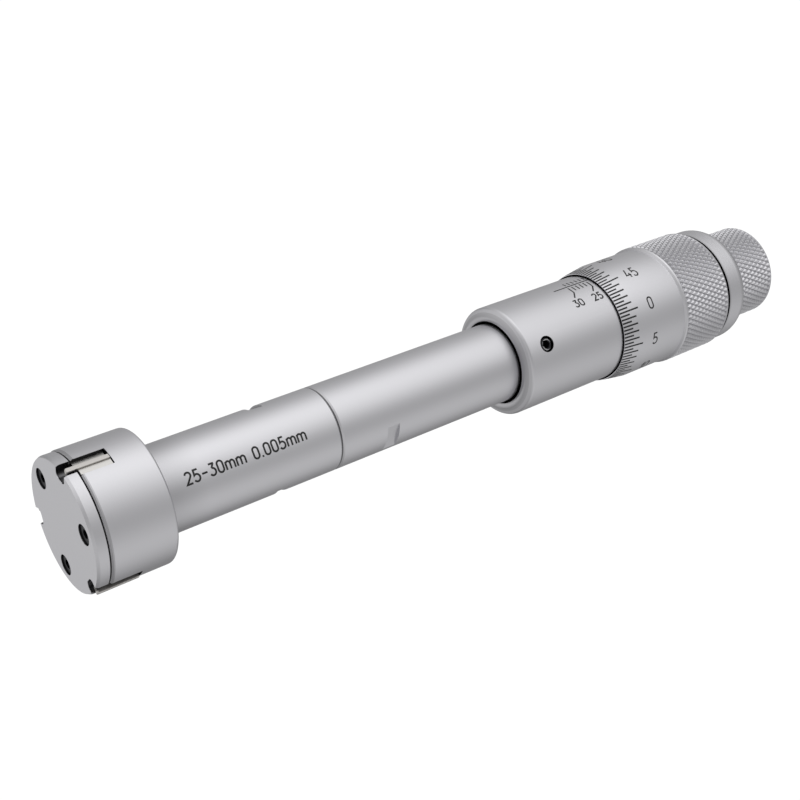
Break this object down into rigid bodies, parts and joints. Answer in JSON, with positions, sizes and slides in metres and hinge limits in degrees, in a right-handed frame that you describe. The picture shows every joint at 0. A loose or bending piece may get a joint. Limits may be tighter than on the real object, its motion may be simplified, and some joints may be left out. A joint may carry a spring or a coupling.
{
  "type": "three-point inside micrometer",
  "caption": "Inside micrometer with three radial anvils in a slotted round head, a long tube, a graduated sleeve, a knurled thimble and a ratchet knob.",
  "frame": {"origin": "centre of the ratchet knob's flat end, on which the micrometer stands", "axes": "+Z along the instrument's axis, from the ratchet knob towards the measuring head"},
  "size_m": [0.0248, 0.0248, 0.1603],
  "materials": {
    "satin_chrome": "satin",
    "ground_steel": "ground",
    "carbide": "ground carbide",
    "black_steel": "blackened",
    "spring_steel": "drawn wire"
  },
  "bodies": {
    "frame": {"front_cover": "satin_chrome", "cover_screws": "black_steel", "head_body": "satin_chrome", "lower_tube": "satin_chrome", "upper_tube": "satin_chrome", "sleeve": "satin_chrome", "sleeve_set_screw": "black_steel", "spindle_nut": "ground_steel", "adjusting_nut": "ground_steel", "cone_return_spring": "spring_steel", "anvil_spring_1": "spring_steel", "anvil_spring_2": "spring_steel", "anvil_spring_3": "spring_steel"},
    "cone": {"measuring_cone": "ground_steel", "push_rod": "ground_steel", "thrust_ball": "ground_steel"},
    "drum": {"spindle": "ground_steel", "thimble": "satin_chrome", "thimble_collar": "satin_chrome", "ratchet_screw": "ground_steel"},
    "knob": {"ratchet_knob": "satin_chrome", "ratchet_spring": "spring_steel"},
    "pawl": {"ratchet_pawl": "ground_steel"},
    "anvil_a": {"anvil_1": "ground_steel", "anvil_tip_1": "carbide"},
    "anvil_b": {"anvil_2": "ground_steel", "anvil_tip_2": "carbide"},
    "anvil_c": {"anvil_3": "ground_steel", "anvil_tip_3": "carbide"}
  },
  "joints": [
    {"name": "cone_slide", "type": "slide", "parent": "frame", "child": "cone", "axis": [0, 0, 1], "range_m": [0, 0.0061], "deforming": ["cone_return_spring"]},
    {"name": "thimble_turn", "type": "hinge", "parent": "cone", "child": "drum", "pos_m": [0, 0, 0.03], "axis": [0, 0, 1], "range_deg": [0, 4392]},
    {"name": "anvil_1_slide", "type": "slide", "parent": "frame", "child": "anvil_a", "axis": [0.6626, -0.749, 0], "range_m": [0, 0.00305], "deforming": ["anvil_spring_1"]},
    {"name": "anvil_2_slide", "type": "slide", "parent": "frame", "child": "anvil_b", "axis": [0.3173, 0.9483, 0], "range_m": [0, 0.00305], "deforming": ["anvil_spring_2"]},
    {"name": "anvil_3_slide", "type": "slide", "parent": "frame", "child": "anvil_c", "axis": [-0.9799, -0.1994, 0], "range_m": [0, 0.00305], "deforming": ["anvil_spring_3"]},
    {"name": "ratchet_turn", "type": "hinge", "parent": "drum", "child": "knob", "pos_m": [0, 0, 0.005], "axis": [0, 0, 1], "continuous": true},
    {"name": "pawl_slide", "type": "slide", "parent": "knob", "child": "pawl", "axis": [0, 0, -1], "range_m": [0, 0.00045], "stiffness_N_per_m": 400, "springref_m": -0.004, "deforming": ["ratchet_spring"]}
  ],
  "couplings": [
    {"joint": "thimble_turn", "follows": "cone_slide", "rad_per_m": 12566},
    {"joint": "anvil_1_slide", "follows": "cone_slide", "ratio": 0.5},
    {"joint": "anvil_2_slide", "follows": "cone_slide", "ratio": 0.5},
    {"joint": "anvil_3_slide", "follows": "cone_slide", "ratio": 0.5}
  ]
}
